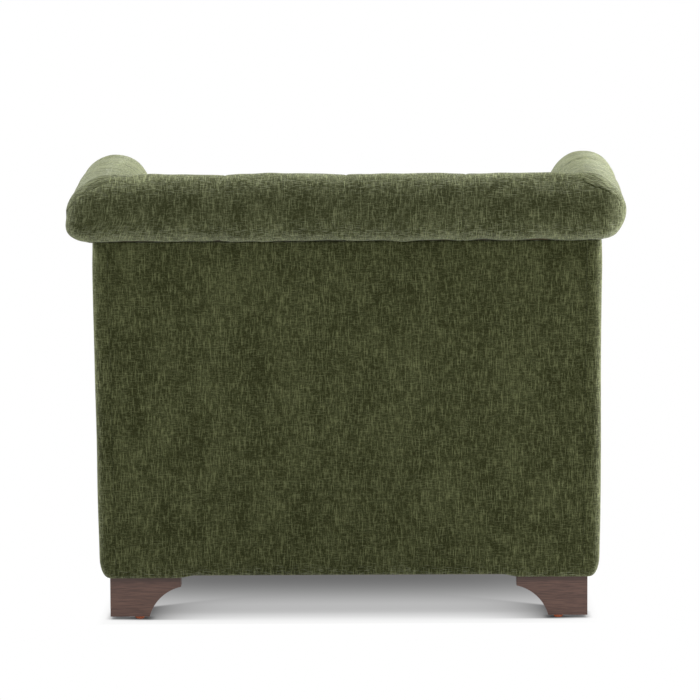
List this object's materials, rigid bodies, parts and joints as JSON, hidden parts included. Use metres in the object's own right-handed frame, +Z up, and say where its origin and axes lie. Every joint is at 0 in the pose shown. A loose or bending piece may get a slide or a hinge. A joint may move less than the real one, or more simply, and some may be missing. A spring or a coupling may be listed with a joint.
{
  "type": "rolled-arm occasional chair",
  "caption": "Low armchair whose rolled back and rolled arms stand at one height, with a deep-buttoned inside, a loose boxed seat cushion and bracket feet.",
  "frame": {"origin": "on the floor, under the middle of the chair's bounding box", "axes": "+Z up; the seat faces -Y and the outside back faces +Y; +X is the sitter's left, across the chair"},
  "size_m": [1.034, 0.83, 0.78],
  "materials": {
    "frame_timber": "sawn",
    "foot_timber": "dark satin lacquer",
    "cover_cloth": "slubbed chenille, olive",
    "foam": "open-cell foam",
    "webbing": "jute weave",
    "card": "grey-brown card",
    "deck_cloth": "plain deck cloth",
    "dust_cloth": "black non-woven",
    "spring_steel": "plain wire",
    "zip_metal": "dull",
    "glide_plastic": "moulded orange"
  },
  "bodies": {
    "chair": {"left_seat_rail": "frame_timber", "right_seat_rail": "frame_timber", "left_arm_tack_rail": "frame_timber", "right_arm_tack_rail": "frame_timber", "left_arm_post": "frame_timber", "right_arm_post": "frame_timber", "left_back_post": "frame_timber", "right_back_post": "frame_timber", "left_arm_top_rail": "frame_timber", "right_arm_top_rail": "frame_timber", "left_scroll_board": "frame_timber", "right_scroll_board": "frame_timber", "front_seat_rail": "frame_timber", "rear_seat_rail": "frame_timber", "back_tack_rail": "frame_timber", "back_top_rail": "frame_timber", "corner_blocks": "frame_timber", "foot_blocks": "frame_timber", "rear_left_foot": "foot_timber", "rear_right_foot": "foot_timber", "front_left_foot": "foot_timber", "front_right_foot": "foot_timber", "left_arm_cover": "cover_cloth", "right_arm_cover": "cover_cloth", "left_arm_buttons": "cover_cloth", "right_arm_buttons": "cover_cloth", "left_arm_facing": "cover_cloth", "right_arm_facing": "cover_cloth", "left_outside_arm": "cover_cloth", "right_outside_arm": "cover_cloth", "back_cover": "cover_cloth", "back_buttons": "cover_cloth", "outside_back": "cover_cloth", "front_border": "cover_cloth", "left_arm_foam": "foam", "right_arm_foam": "foam", "back_foam": "foam", "left_arm_webbing": "webbing", "right_arm_webbing": "webbing", "back_webbing": "webbing", "left_arm_stiffener": "card", "right_arm_stiffener": "card", "back_stiffener": "card", "seat_deck": "deck_cloth", "dust_cover": "dust_cloth", "seat_springs": "spring_steel", "spring_clips": "spring_steel", "foot_screws": "spring_steel", "foot_glides": "glide_plastic"},
    "seat_cushion": {"cushion_cover": "cover_cloth", "cushion_core": "foam", "cushion_zip": "zip_metal"},
    "zip_slider": {"zip_slider": "zip_metal"}
  },
  "joints": [
    {"name": "cushion_lift", "type": "slide", "parent": "chair", "child": "seat_cushion", "axis": [0, 0, 1], "range_m": [0, 0.5]},
    {"name": "zip_run", "type": "slide", "parent": "seat_cushion", "child": "zip_slider", "axis": [-1, 0, 0], "range_m": [0, 0.476]}
  ]
}
